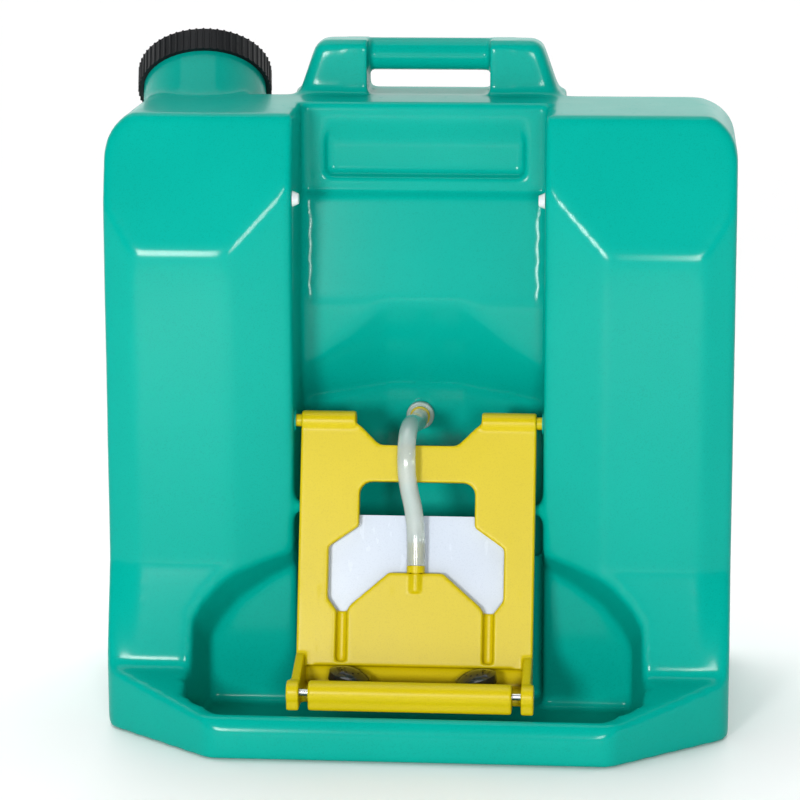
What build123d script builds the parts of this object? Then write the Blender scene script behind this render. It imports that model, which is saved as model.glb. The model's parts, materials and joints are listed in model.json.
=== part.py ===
"""Portable gravity-fed eyewash station: moulded tank, fold-down nozzle arm, hose and fill cap.

Millimetres. +Z is up, -Y is the side the user stands at, +X is the user's right.
The origin is under the middle of the station, on the surface it stands on.
The arm is drawn lowered, as it is in use.
"""
import os
from math import cos, pi, radians, sin, tan

from build123d import *

# ---------------------------------------------------------------- driving dimensions
# tank, outside
WIDTH = 546.0
DEPTH = 370.0
LOBE_TOP = 537.0
TOP_RISE = 4.0                 # the top climbs this much towards the rear
WALL = 5.0
TOP_CORNER_R = 40.0
REAR_CORNER_R = 45.0
REAR_SLOPE = 46.0              # degrees, the rear top slope that carries the neck
TOP_LENGTH = 115.0             # level top, front to rear
# tank, lobes beside the channel
LOBE_FACE_BACK = 107.0         # from the base front to the upper bend of the lobes
UPPER_BEND_Z = 421.0
UPPER_LEAN = 34.0
MID_BEND_Z = 147.0
MID_STEP = 6.0
RIDGE_Z = 56.0
RIDGE_STEP = 16.0
INNER_BEVEL_W = 54.0
INNER_BEVEL_D = 16.0
OUTER_BEVEL_W = 27.0
OUTER_BEVEL_D = 12.0
# tank, base and rim
RIM_Z = 38.0
RIM_EDGE_Z = 26.0
RIM_SLOPE = 6.0
RIM_THICK = 14.0
RIM_TAPER = 0.6                # share of the rim's thickness kept at the basin's front corners
BASE_FRONT_W = 342.0
BASE_CHAMFER_D = 84.0
BASE_CORNER_R = 24.0
FLOOR_Z = 8.0
# tank, channel and head cavity
CHANNEL_W = 218.0
LABEL_WALL_Y = 21.0
LEDGE_Z = 459.0
LEDGE_STEP = 4.0
PANEL_FOOT_Y = 4.0
CAVITY_TOP_Z = 364.0
CAVITY_WALL_Y = 36.0
CAVITY_FLAT_W = 68.0
CAVITY_CEILING_DROP = 80.0
CAVITY_SIDE_Z = 304.0
CAVITY_SIDE_Y = 16.0
SILL_Z = 190.0
SILL_Y = 14.0
PANEL_ROOT_Y = -10.0           # where the panel would meet the basin floor
# tank, basin beside the arm
BASIN_W = 396.0
ARCH_TOP_Z = 180.0
ARCH_DROP = 40.0
ARCH_INSET = 10.0
ARCH_REACH = 20.0              # the arch is cut from this far in front of the lobes
# share of the way out to the basin's side, and drop from the arch's top
ARCH_EDGE = ((0.045, 0.0), (0.38, 16.0), (0.7, 36.0), (0.9, 58.0), (1.0, 76.0))
BASIN_BACK_Y = -45.0
# label recess
LABEL_W = 176.0
LABEL_FOOT_Z = 473.0
LABEL_BEVEL_Z = 505.0
LABEL_HEAD_Z = 523.0
LABEL_DEPTH = 8.0
LABEL_FOOT_RISE = 2.0
# handle
HANDLE_TOP_Z = 589.0
HANDLE_W = 200.0
HANDLE_FOOT_W = 236.0
HANDLE_CORNER_R = 12.0
HAND_HOLE_W = 110.0
GRIP_R = 14.5
GRIP_SET_IN = 8.0              # the grip's ends run this far into the shoulders
HANDLE_Y = 66.0
HANDLE_DEPTH = 44.0
HANDLE_EDGE_R = 8.0
DECK_W = 244.0
DECK_BACK_Y = 112.0
DECK_RISE = 6.5
DECK_DROP = 60.0               # from the top down to where the deck joins the tank
DECK_TAIL = 45.0               # the deck falls away behind the handle over this length
# neck and cap
NECK_X = -206.0
NECK_R = 56.0
NECK_WALL = 6.0
NECK_LENGTH = 36.0
NECK_TURN = 7.0                # degrees, towards the rear left
NECK_SETBACK = 41.5            # down the slope from the top edge to the neck axis
CAP_SKIRT = 23.0
CAP_WALL = 3.5
CAP_SLACK = 0.5
CAP_RIBS = 60
CAP_RIB_R = 1.1
GASKET_T = 2.5
VENT_R = 5.0
VENT_BRIM = 2.0
VENT_BRIM_T = 1.5
# arm
PIVOT_Y = -48.0
PIVOT_Z = 268.0
ARM_TILT = 17.0                # degrees forward of straight down, when lowered
ARM_STOWED_LEAN = 3.0          # degrees back of straight up, when stowed
ARM_W = 206.0
ARM_FACE = 6.0                 # front face of the plate, from the pivot axis
ARM_T = 11.0
EAR_BOSS_R = 9.0
EAR_W = 48.0
CROSSBAR_TOP = 21.0
CROSSBAR_FOOT = 53.0
SCOOP_NECK = 8.0
SCOOP_NECK_W = 94.0
SCOOP_FOOT_W = 68.0
SCOOP_CORNER_R = 12.0
OPENING_W = 101.0
OPENING_CORNER_R = 11.0
WINDOW_CORNER_R = 3.5
OPENING_NECK = 92.0
WINDOW_W = 153.0
WINDOW_SHOULDER = 110.0
WINDOW_FOOT = 155.0
WINDOW_TIP = 166.0
GROOVE_X = 64.0
GROOVE_W = 9.0
GROOVE_END = 210.0
GROOVE_DEPTH = 4.0
PAD_TOP = 132.0
PAD_TOP_W = 47.0
PAD_SHOULDER = 161.0
PAD_SHOULDER_W = 114.0
PLATE_END = 214.0
# bar across the arm's end
BAR_Y = -158.0
BAR_Z = 54.0
BAR_R = 10.5
BAR_TAIL = 14.5
BAR_TAIL_W = 17.0
BAR_W = 175.0
BAR_AXLE_R = 3.0
KNUCKLE_GAP = 7.5
KNUCKLE_T = 11.0
# shelf that carries the nozzles, and the wall that hangs it from the plate
SHELF_TOP_Z = 47.0
SHELF_T = 7.0
SHELF_FRONT_Y = -143.0
SHELF_WALL_Y = -103.0
SHELF_WALL_T = 6.5
SHELF_LAP = 4.0                # its wall and bores run this far into the plate
POCKET_TOP_Z = 68.0
POCKET_W = 172.0
POCKET_CHAMFER_H = 5.0
POCKET_CHAMFER_D = 12.0
GUSSET_T = 8.0
GUSSET_RISE = 10.0
GUSSET_LAP = 2.0
NOZZLE_X = 56.0
NOZZLE_Y = -128.0
NOZZLE_R = 18.0
NOZZLE_SKIRT = 7.0
NOZZLE_TILT = 12.0             # degrees inward
NOZZLE_SEAT_Z = 55.0
NOZZLE_DOME = 5.0
STEM_FOOT_Z = 34.0
SEAL_T = 2.0
SEAL_W = 4.0
DISC_T = 2.0
PORT_R = 2.0
NOZZLE_WALL = 3.0
NOZZLE_STEM_R = 7.0
NOZZLE_BORE_R = 3.5
NOZZLE_HOLE_R = 0.9
NOZZLE_HOLES = 10
# sign plate and screws
SIGN_T = 2.0
SIGN_TOP = 82.0
SIGN_END = 196.0
SIGN_W = 190.0
SIGN_CORNER_R = 4.0
SCREW_X = 88.0
SCREW_ROWS = (92.0, 140.0, 188.0)
SCREW_HEAD_R = 3.5
SCREW_HEAD_T = 1.6
SCREW_SLOT = 0.8
SCREW_R = 1.5
SCREW_LENGTH = 8.0
# pivots and catch buttons
PIN_R = 5.5
PIN_IN = 24.0
PIN_LENGTH = 36.0
BUSH_WALL = 2.0
BUSH_FLANGE = 1.2
BUSH_END = 2.0
BUTTON_Z = 464.5
BUTTON_R = 7.0
BUTTON_TIP_R = 4.5
BUTTON_H = 5.4
BUTTON_STEM_R = 3.0
BUTTON_HOLE_R = 1.5
STOP_R = 5.0                   # lugs on the channel walls that the lowered arm rests on
STOP_DOWN = 75.0
STOP_X = 98.0                  # clear of the sign plate's edge
# outlet and hose
OUTLET_X = -5.0
OUTLET_Z = 256.0
OUTLET_GASKET_T = 2.0
FLANGE_R = 12.5
FLANGE_T = 5.0
FLANGE_EDGE_R = 1.5
FLANGE_BORE_R = 4.0
STEM_R = 8.0
STEM_LENGTH = 30.0
NUT_R = 14.0
NUT_T = 8.0
STRAINER_R = 10.0
STRAINER_LENGTH = 34.0
STRAINER_GRIP = 6.0            # how far the stem reaches into it
STRAINER_SLOT = 3.0
STRAINER_STEP = 45             # degrees between its slots
BARB_RING_R = 9.0
BARB_RING_T = 4.0
BARB_PLUG_R = 6.0
BARB_PLUG = 12.0
HOSE_R = 8.0
HOSE_BORE_R = 5.5
HOSE_LEAD = 24.0               # straight run into the arm's inlet
BEND_SHARE = 0.45              # share of each run that its bends may take
BARB_R = 5.4
BARB_BORE_R = 3.0
BARB_LENGTH = 20.0
BARB_ROOT_R = 4.7
BARB_RIDGES = 3
BARB_RIDGE = 3.2
BARB_PITCH = 4.0
INLET_RISE = 3.6               # hose centre line above the pivot plane of the arm
FEED_RISE = 0.5                # centre line of the water bores, likewise
INLET_BOSS_WALL = 1.5
INLET_COLLAR_R = 8.0
INLET_COLLAR = 6.0
INLET_PLUG_R = 4.0
INLET_PLUG = 14.0
CROSS_BORE = 185.0             # distance down the arm of the bore that feeds both nozzles
CHANNEL_BORE_R = 3.0
# clearances and overlaps
LAP = 3.0                      # pieces of one solid, and cutters, run this far into each other
RUN = 0.05                     # radial, shaft in a bore that it turns in
GAP = 0.3                      # between pieces that pass or lie side by side
STEP = 0.02                    # between faces of two pieces pressed together

# ---------------------------------------------------------------- derived sizes
HALF_W = WIDTH / 2
FRONT_Y = -DEPTH / 2
BACK_Y = DEPTH / 2
LOBE_Y = FRONT_Y + LOBE_FACE_BACK
LOBE_MID_Y = LOBE_Y - MID_STEP
LOBE_RIDGE_Y = LOBE_MID_Y - RIDGE_STEP
LOBE_TOP_Y = LOBE_Y + UPPER_LEAN
TOP_BACK_Y = LOBE_TOP_Y + TOP_LENGTH
SLOPE_FOOT_Z = LOBE_TOP + TOP_RISE - (BACK_Y - TOP_BACK_Y) * tan(radians(REAR_SLOPE))
CHANNEL_HALF = CHANNEL_W / 2
RIM_INNER_Y = FRONT_Y + RIM_THICK
ARM_HALF = ARM_W / 2
BUTTON_REACH = (BUTTON_Z - PIVOT_Z) / cos(radians(ARM_STOWED_LEAN))
BUTTON_Y = (PIVOT_Y + BUTTON_REACH * sin(radians(ARM_STOWED_LEAN))
            - (ARM_T - ARM_FACE) - BUTTON_R - 0.5)
NECK_BORE_R = NECK_R - NECK_WALL
CAP_R = NECK_R + CAP_SLACK + CAP_WALL
FAR = 800.0

os.makedirs("parts", exist_ok=True)


def save(item, name):
    """Label a finished piece and write its STEP file."""
    item.part.label = name
    export_step(item.part, f"parts/{name}.step")


def mirrored(points):
    """Close an outline that is the same on both sides of the middle plane."""
    return points + [(-x, y) for x, y in reversed(points)]


# ---------------------------------------------------------------- working planes
slope = radians(REAR_SLOPE)
neck_dir = Vector(
    -sin(radians(NECK_TURN)) * sin(slope), cos(radians(NECK_TURN)) * sin(slope), cos(slope)
)
neck_seat = Vector(
    NECK_X,
    TOP_BACK_Y + NECK_SETBACK * cos(slope),
    LOBE_TOP + TOP_RISE - NECK_SETBACK * sin(slope),
)
neck_plane = Plane(origin=neck_seat, x_dir=(cos(radians(NECK_TURN)), sin(radians(NECK_TURN)), 0),
                   z_dir=neck_dir)
tilt = radians(ARM_TILT)
arm_plane = Plane(origin=(0, PIVOT_Y, PIVOT_Z), x_dir=(1, 0, 0), z_dir=(0, -cos(tilt), sin(tilt)))
face_plane = arm_plane.offset(ARM_FACE)


def on_arm(x, down, out):
    """Point at a distance down the arm from its pivot, and out from the pivot plane."""
    return arm_plane.from_local_coords((x, -down, out))


# ---------------------------------------------------------------- tank
def side_outline(skin):
    """Outline of lobes and base from the side; the inner one leaves the solid rim out."""
    if skin:
        front = [(LOBE_RIDGE_Y, 0)]
    else:
        front = [
            (FRONT_Y, 0),
            (FRONT_Y, RIM_EDGE_Z),
            (FRONT_Y + RIM_SLOPE, RIM_Z),
            (RIM_INNER_Y, RIM_Z),
        ]
    return front + [
        (LOBE_RIDGE_Y, RIDGE_Z),
        (LOBE_MID_Y, MID_BEND_Z),
        (LOBE_Y, UPPER_BEND_Z),
        (LOBE_TOP_Y, LOBE_TOP),
        (TOP_BACK_Y, LOBE_TOP + TOP_RISE),
        (BACK_Y, SLOPE_FOOT_Z),
        (BACK_Y, 0),
    ]


def prism(points, plane, reach, skin=0.0):
    """Solid on both sides of a plane, its outline moved out by skin."""
    with BuildPart() as block:
        with BuildSketch(plane):
            with BuildLine():
                Polyline(points, close=True)
            make_face()
            if skin:
                offset(amount=skin, kind=Kind.INTERSECTION)
        extrude(amount=reach, both=True)
    return block.part


def channel_cut(skin):
    """Space between the lobes, in front of the centre wall and above the basin floor."""
    outline = [
        (RIM_INNER_Y, FLOOR_Z),
        (RIM_INNER_Y, FAR),
        (LABEL_WALL_Y, FAR),
        (LABEL_WALL_Y, LEDGE_Z),
        (LABEL_WALL_Y - LEDGE_STEP, LEDGE_Z - LEDGE_STEP / 2),
        (PANEL_FOOT_Y, CAVITY_TOP_Z),
        (PANEL_FOOT_Y, SILL_Z),
        (PANEL_ROOT_Y, FLOOR_Z),
    ]
    return prism(outline, Plane.YZ, CHANNEL_HALF + skin, skin)


def cavity_cut(skin):
    """Head cavity: a ceiling of three slopes over a wall with slanted sides."""
    fall = (CAVITY_TOP_Z - CAVITY_SIDE_Z) / (CHANNEL_HALF - CAVITY_FLAT_W / 2)
    steep = CAVITY_CEILING_DROP / (CAVITY_WALL_Y - PANEL_FOOT_Y)
    with BuildPart() as cavity:
        for y in (PANEL_FOOT_Y - LAP, CAVITY_WALL_Y + skin):
            drop = steep * (y - PANEL_FOOT_Y) - skin * steep
            with BuildSketch(Plane.XZ.offset(-y)):
                with BuildLine():
                    Polyline(mirrored([
                        (CAVITY_FLAT_W / 2, CAVITY_TOP_Z - drop),
                        (CHANNEL_HALF + skin, CAVITY_SIDE_Z - drop - fall * skin),
                        (CHANNEL_HALF + skin, FLOOR_Z - skin),
                    ]), close=True)
                make_face()
        loft()
        plan = mirrored([
            (CAVITY_FLAT_W / 2, CAVITY_WALL_Y + skin),
            (CHANNEL_HALF + skin, CAVITY_SIDE_Y + skin),
            (CHANNEL_HALF + skin, -FAR),
        ])
        with BuildSketch(Plane.XY.offset(-FAR)):
            with BuildLine():
                Polyline(plan, close=True)
            make_face()
        extrude(amount=2 * FAR, mode=Mode.INTERSECT)
        sill = [
            (-FAR, FLOOR_Z - skin),
            (-FAR, FAR),
            (FAR, FAR),
            (FAR, SILL_Z),
            (CAVITY_WALL_Y + skin, SILL_Z),
            (SILL_Y + skin, FLOOR_Z - skin),
        ]
        with BuildSketch(Plane.YZ):
            with BuildLine():
                Polyline(sill, close=True)
            make_face()
        extrude(amount=WIDTH, both=True, mode=Mode.INTERSECT)
    return cavity.part


def arch_cut(skin):
    """Basin under the lobes, narrowing and dropping towards its back wall."""
    span = BASIN_W / 2 - CHANNEL_HALF
    edge = [(CHANNEL_HALF + share * span, ARCH_TOP_Z - drop) for share, drop in ARCH_EDGE]
    reach = ARCH_REACH / (BASIN_BACK_Y - LOBE_RIDGE_Y)
    with BuildPart() as arch:
        for y, inset, drop in (
            (LOBE_RIDGE_Y - ARCH_REACH, -reach * ARCH_INSET, -reach * ARCH_DROP),
            (BASIN_BACK_Y + skin, ARCH_INSET, ARCH_DROP),
        ):
            with BuildSketch(Plane.XZ.offset(-y)):
                with BuildLine():
                    Polyline(mirrored(
                        [(x - inset, z - drop) for x, z in edge] + [(edge[-1][0] - inset, FLOOR_Z)]
                    ), close=True)
                make_face()
                if skin:
                    offset(amount=skin, kind=Kind.INTERSECTION)
        loft()
    return arch.part


def basin_cut(skin):
    """Basin in front of the lobes, inside the rim."""
    corner_x = BASE_FRONT_W / 2 - RIM_THICK * RIM_TAPER
    run = (HALF_W - BASE_FRONT_W / 2) / BASE_CHAMFER_D
    corner_y = RIM_INNER_Y + (BASIN_W / 2 - corner_x) / run
    with BuildPart() as basin:
        with BuildSketch(Plane.XY.offset(FLOOR_Z - skin)):
            with BuildLine():
                Polyline(mirrored([
                    (corner_x, RIM_INNER_Y),
                    (BASIN_W / 2, corner_y),
                    (BASIN_W / 2, LOBE_RIDGE_Y),
                ]), close=True)
            make_face()
            if skin:
                offset(amount=skin, kind=Kind.INTERSECTION)
        extrude(amount=FAR)
    return basin.part


def bevel_cut(crease_x, edge_x, depth, skin):
    """Bevel of a lobe's face from a crease to its edge, with slanted ends above and below."""
    lean = UPPER_LEAN / (LOBE_TOP - UPPER_BEND_Z)
    steepness = MID_STEP / (UPPER_BEND_Z - MID_BEND_Z)
    past_edge = 1.03
    with BuildPart() as bevel:
        for along in (0, past_edge):
            cut = depth * along
            rise = cut / (lean - steepness)
            with BuildSketch(Plane.YZ.offset(crease_x + (edge_x - crease_x) * along)):
                with BuildLine():
                    Polyline([
                        (LOBE_RIDGE_Y + skin, RIDGE_Z),
                        (LOBE_MID_Y + cut + skin, MID_BEND_Z),
                        (LOBE_Y + cut + rise * steepness + skin, UPPER_BEND_Z + rise),
                        (FRONT_Y, UPPER_BEND_Z + rise),
                        (FRONT_Y, RIDGE_Z),
                    ], close=True)
                make_face()
        loft(ruled=True)
    return bevel.part


def tank_mass(skin):
    """The tank without neck and handle; skin > 0 gives the space inside its wall."""
    with BuildPart() as mass:
        with BuildSketch(Plane.YZ):
            with BuildLine():
                Polyline(side_outline(skin), close=True)
            make_face()
            if skin:
                offset(amount=-skin, kind=Kind.INTERSECTION)
        extrude(amount=HALF_W - skin, both=True)
        with BuildSketch(Plane.XY.offset(-FAR)):
            with BuildLine():
                Polyline(mirrored([
                    (BASE_FRONT_W / 2, FRONT_Y),
                    (HALF_W, FRONT_Y + BASE_CHAMFER_D),
                    (HALF_W, BACK_Y),
                ]), close=True)
            make_face()
            fillet(vertices().group_by(Axis.Y)[:2], BASE_CORNER_R)
            fillet(vertices().group_by(Axis.Y)[-1], REAR_CORNER_R)
            if skin:
                offset(amount=-skin, kind=Kind.INTERSECTION)
        extrude(amount=2 * FAR, mode=Mode.INTERSECT)
        with BuildSketch(Plane.XZ.offset(-FAR)):
            with Locations((0, (LOBE_TOP + TOP_RISE) / 2)):
                Rectangle(WIDTH - 2 * skin, LOBE_TOP + TOP_RISE - 2 * skin)
            fillet(vertices().group_by(Axis.Y)[-1], TOP_CORNER_R - skin)
        extrude(amount=2 * FAR, mode=Mode.INTERSECT)
        add(channel_cut(skin), mode=Mode.SUBTRACT)
        add(cavity_cut(skin), mode=Mode.SUBTRACT)
        add(arch_cut(skin), mode=Mode.SUBTRACT)
        add(basin_cut(skin), mode=Mode.SUBTRACT)
        for side in (-1, 1):
            for crease_x, edge_x, depth in (
                (CHANNEL_HALF + INNER_BEVEL_W, CHANNEL_HALF, INNER_BEVEL_D),
                (HALF_W - OUTER_BEVEL_W, HALF_W, OUTER_BEVEL_D),
            ):
                add(bevel_cut(side * crease_x, side * edge_x, depth, skin), mode=Mode.SUBTRACT)
    return mass.part


outside = tank_mass(0)
inside = tank_mass(WALL)
deck = [
    (LABEL_WALL_Y, LOBE_TOP - DECK_DROP),
    (LABEL_WALL_Y, LOBE_TOP),
    (DECK_BACK_Y, LOBE_TOP + DECK_RISE),
    (DECK_BACK_Y + DECK_TAIL, LOBE_TOP + DECK_RISE - DECK_TAIL),
    (DECK_BACK_Y, LOBE_TOP - DECK_DROP),
]
deck_block = prism(deck, Plane.YZ, DECK_W / 2)
neck_top = NECK_LENGTH + CAP_SKIRT - CAP_WALL - GASKET_T

# handle: two shoulders and a round grip between them, set to the rear
with BuildPart() as handle:
    with BuildSketch(Plane.XZ.offset(-HANDLE_Y)):
        with BuildLine():
            Polyline(mirrored([
                (HANDLE_W / 2, HANDLE_TOP_Z),
                (HANDLE_FOOT_W / 2, LOBE_TOP),
                (HANDLE_FOOT_W / 2, LOBE_TOP - DECK_DROP / 2),
            ]), close=True)
        make_face()
        fillet(vertices().group_by(Axis.Y)[-1], HANDLE_CORNER_R)
    extrude(amount=-HANDLE_DEPTH)
    fillet(edges().filter_by(Axis.X).group_by(Axis.Z)[-1], HANDLE_EDGE_R)
    with BuildSketch(Plane.XZ):
        with Locations((0, HANDLE_TOP_Z)):
            Rectangle(HAND_HOLE_W, 2 * (HANDLE_TOP_Z - LOBE_TOP))
    extrude(amount=-FAR, mode=Mode.SUBTRACT)
    with BuildSketch(Plane.YZ):
        with Locations((HANDLE_Y + HANDLE_DEPTH - GRIP_R, HANDLE_TOP_Z - GRIP_R)):
            Circle(GRIP_R)
    extrude(amount=HAND_HOLE_W / 2 + GRIP_SET_IN, both=True)

label_recess = prism([
    (LABEL_WALL_Y - LAP, LABEL_HEAD_Z),
    (LABEL_WALL_Y, LABEL_HEAD_Z),
    (LABEL_WALL_Y + LABEL_DEPTH, LABEL_BEVEL_Z),
    (LABEL_WALL_Y + LABEL_DEPTH, LABEL_FOOT_Z + LABEL_FOOT_RISE),
    (LABEL_WALL_Y, LABEL_FOOT_Z),
    (LABEL_WALL_Y - LAP, LABEL_FOOT_Z),
], Plane.YZ, LABEL_W / 2)
label_backing = prism([
    (LABEL_WALL_Y, LABEL_HEAD_Z + WALL),
    (LABEL_WALL_Y + WALL + LABEL_DEPTH, LABEL_BEVEL_Z + WALL),
    (LABEL_WALL_Y + WALL + LABEL_DEPTH, LABEL_FOOT_Z - WALL),
    (LABEL_WALL_Y, LABEL_FOOT_Z - WALL),
], Plane.YZ, LABEL_W / 2 + WALL)

with BuildPart() as tank_shell:
    add(outside)
    add(deck_block)
    add(handle.part)
    with BuildSketch(neck_plane.offset(-NECK_SETBACK / 2)):
        Circle(NECK_R)
    extrude(amount=NECK_SETBACK / 2 + neck_top)
    add(inside, mode=Mode.SUBTRACT)
    add(label_backing)
    add(label_recess, mode=Mode.SUBTRACT)
    with BuildSketch(neck_plane.offset(-NECK_SETBACK)):
        Circle(NECK_BORE_R)
    extrude(amount=NECK_SETBACK + FAR, mode=Mode.SUBTRACT)
    with BuildSketch(Plane.XZ.offset(-PANEL_FOOT_Y)):
        with Locations((OUTLET_X, OUTLET_Z)):
            Circle(STEM_R)
    extrude(amount=-CAVITY_WALL_Y - WALL, mode=Mode.SUBTRACT)
    # lugs behind the lowered arm
    stop = on_arm(0, STOP_DOWN, ARM_FACE - ARM_T - GAP - STOP_R)
    for side in (-1, 1):
        with BuildSketch(Plane.YZ.offset(side * STOP_X)):
            with Locations((stop.Y, stop.Z)):
                Circle(STOP_R)
        extrude(amount=side * (CHANNEL_HALF + LAP - STOP_X))
    with BuildSketch(Plane.YZ):
        with Locations((PIVOT_Y, PIVOT_Z)):
            Circle(PIN_R + RUN + BUSH_WALL)
        with Locations((BUTTON_Y, BUTTON_Z)):
            Circle(BUTTON_STEM_R)
    extrude(amount=CHANNEL_HALF + WALL + LAP, both=True, mode=Mode.SUBTRACT)
save(tank_shell, "tank_shell")

# ---------------------------------------------------------------- fill cap
with BuildPart() as fill_cap:
    skirt_foot = neck_plane.offset(NECK_LENGTH)
    with BuildSketch(skirt_foot):
        Circle(CAP_R)
        with PolarLocations(CAP_R, CAP_RIBS):
            Circle(CAP_RIB_R)
    extrude(amount=CAP_SKIRT)
    with BuildSketch(skirt_foot):
        Circle(NECK_R + CAP_SLACK)
    extrude(amount=CAP_SKIRT - CAP_WALL, mode=Mode.SUBTRACT)
    with BuildSketch(skirt_foot):
        Circle(VENT_R)
    extrude(amount=CAP_SKIRT, mode=Mode.SUBTRACT)
save(fill_cap, "fill_cap")

with BuildPart() as cap_gasket:
    with BuildSketch(neck_plane.offset(neck_top + STEP)):
        Circle(NECK_R)
        Circle(NECK_BORE_R, mode=Mode.SUBTRACT)
    extrude(amount=GASKET_T - 2 * STEP)
save(cap_gasket, "cap_gasket")

with BuildPart() as vent_plug:
    cap_top = neck_plane.offset(NECK_LENGTH + CAP_SKIRT)
    with BuildSketch(cap_top.offset(-CAP_WALL)):
        Circle(VENT_R - STEP)
    extrude(amount=CAP_WALL + STEP)
    with BuildSketch(cap_top.offset(STEP)):
        Circle(VENT_R + VENT_BRIM)
    extrude(amount=VENT_BRIM_T)
save(vent_plug, "vent_plug")

# ---------------------------------------------------------------- outlet
wall_plane = Plane(origin=(OUTLET_X, CAVITY_WALL_Y, OUTLET_Z), x_dir=(1, 0, 0), z_dir=(0, -1, 0))
flange_foot = wall_plane.offset(OUTLET_GASKET_T)
flange_face = OUTLET_GASKET_T + FLANGE_T

with BuildPart() as outlet_gasket:
    with BuildSketch(wall_plane.offset(STEP)):
        Circle(FLANGE_R - GAP)
        Circle(STEM_R + STEP, mode=Mode.SUBTRACT)
    extrude(amount=OUTLET_GASKET_T - 2 * STEP)
save(outlet_gasket, "outlet_gasket")

with BuildPart() as outlet_flange:
    with BuildSketch(flange_foot):
        Circle(FLANGE_R)
    extrude(amount=FLANGE_T)
    fillet(edges().filter_by(GeomType.CIRCLE).sort_by(Axis.Y)[0], FLANGE_EDGE_R)
    with BuildSketch(flange_foot):
        Circle(STEM_R - STEP)
    extrude(amount=-STEM_LENGTH)
    with BuildSketch(flange_foot.offset(-STEM_LENGTH)):
        Circle(FLANGE_BORE_R)
    extrude(amount=FAR, mode=Mode.SUBTRACT)
    with BuildSketch(wall_plane.offset(flange_face - BARB_PLUG)):
        Circle(BARB_PLUG_R + STEP)
    extrude(amount=FAR, mode=Mode.SUBTRACT)
save(outlet_flange, "outlet_flange")

with BuildPart() as outlet_locknut:
    with BuildSketch(wall_plane.offset(-WALL - STEP)):
        RegularPolygon(NUT_R, 6)
        Circle(STEM_R + STEP, mode=Mode.SUBTRACT)
    extrude(amount=-NUT_T)
save(outlet_locknut, "outlet_locknut")

with BuildPart() as outlet_strainer:
    strainer_mouth = flange_foot.offset(STRAINER_GRIP - STEM_LENGTH)
    with BuildSketch(strainer_mouth):
        Circle(STRAINER_R)
    extrude(amount=-STRAINER_LENGTH)
    with BuildSketch(strainer_mouth):
        Circle(STEM_R + STEP)
    extrude(amount=STRAINER_R - STEM_R - STRAINER_LENGTH, mode=Mode.SUBTRACT)
    for turn in range(0, 180, STRAINER_STEP):
        spin = Plane(origin=flange_foot.origin, x_dir=(cos(radians(turn)), 0, sin(radians(turn))),
                     z_dir=(0, 1, 0))
        with BuildSketch(spin.offset(STEM_LENGTH)):
            Rectangle(3 * STRAINER_R, STRAINER_SLOT)
        extrude(amount=STRAINER_LENGTH - 2 * STRAINER_GRIP, mode=Mode.SUBTRACT)
save(outlet_strainer, "outlet_strainer")


def barb(start, length, plug, ring_r, ring_t, plug_r):
    """Barbed hose fitting: plug behind the plane, ring and ridged tube in front of it."""
    with BuildPart() as fitting:
        with BuildSketch(start.offset(-plug)):
            Circle(plug_r - STEP)
        extrude(amount=plug)
        with BuildSketch(start.offset(STEP)):
            Circle(ring_r)
        extrude(amount=ring_t - STEP)
        with BuildSketch(start):
            Circle(BARB_ROOT_R)
        extrude(amount=ring_t + length)
        for k in range(BARB_RIDGES):
            foot = start.offset(ring_t + length - (k + 1) * BARB_PITCH)
            with BuildSketch(foot):
                Circle(BARB_R)
            with BuildSketch(foot.offset(BARB_RIDGE)):
                Circle(BARB_ROOT_R)
            loft()
        with BuildSketch(start.offset(-plug)):
            Circle(BARB_BORE_R)
        extrude(amount=plug + ring_t + length, mode=Mode.SUBTRACT)
    return fitting


outlet_barb = barb(wall_plane.offset(flange_face), BARB_LENGTH, BARB_PLUG,
                   BARB_RING_R, BARB_RING_T, BARB_PLUG_R)
save(outlet_barb, "outlet_barb")

# ---------------------------------------------------------------- arm
window = mirrored([
    (OPENING_W / 2, -CROSSBAR_FOOT),
    (OPENING_W / 2, -OPENING_NECK),
    (WINDOW_W / 2, -WINDOW_SHOULDER),
    (WINDOW_W / 2, -WINDOW_FOOT),
    (GROOVE_X + GROOVE_W / 2, -WINDOW_TIP),
    (GROOVE_X - GROOVE_W / 2, -WINDOW_TIP),
    (PAD_SHOULDER_W / 2, -PAD_SHOULDER),
    (PAD_TOP_W / 2, -PAD_TOP),
])
scoop = mirrored([
    (ARM_HALF - EAR_W, EAR_BOSS_R + LAP),
    (ARM_HALF - EAR_W, 0),
    (SCOOP_NECK_W / 2, -SCOOP_NECK),
    (SCOOP_FOOT_W / 2, -CROSSBAR_TOP),
])
plate_foot = on_arm(0, PLATE_END, ARM_FACE)
inlet_seat = Plane(origin=on_arm(0, PAD_TOP, INLET_RISE), x_dir=(1, 0, 0), z_dir=arm_plane.y_dir)
shelf = [
    (SHELF_WALL_Y, plate_foot.Z + SHELF_LAP),
    (SHELF_WALL_Y, SHELF_TOP_Z - SHELF_T),
    (SHELF_FRONT_Y, SHELF_TOP_Z - SHELF_T),
    (SHELF_FRONT_Y, SHELF_TOP_Z),
    (SHELF_WALL_Y - SHELF_WALL_T, SHELF_TOP_Z),
    (SHELF_WALL_Y - SHELF_WALL_T, plate_foot.Z + SHELF_LAP),
]
gusset = [
    (SHELF_WALL_Y, SHELF_TOP_Z - SHELF_T),
    (SHELF_WALL_Y, plate_foot.Z + GUSSET_RISE),
    (plate_foot.Y - GUSSET_LAP, plate_foot.Z + GUSSET_RISE),
    (BAR_Y, BAR_Z + BAR_R - GUSSET_LAP),
    (BAR_Y, BAR_Z - BAR_TAIL),
]


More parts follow.
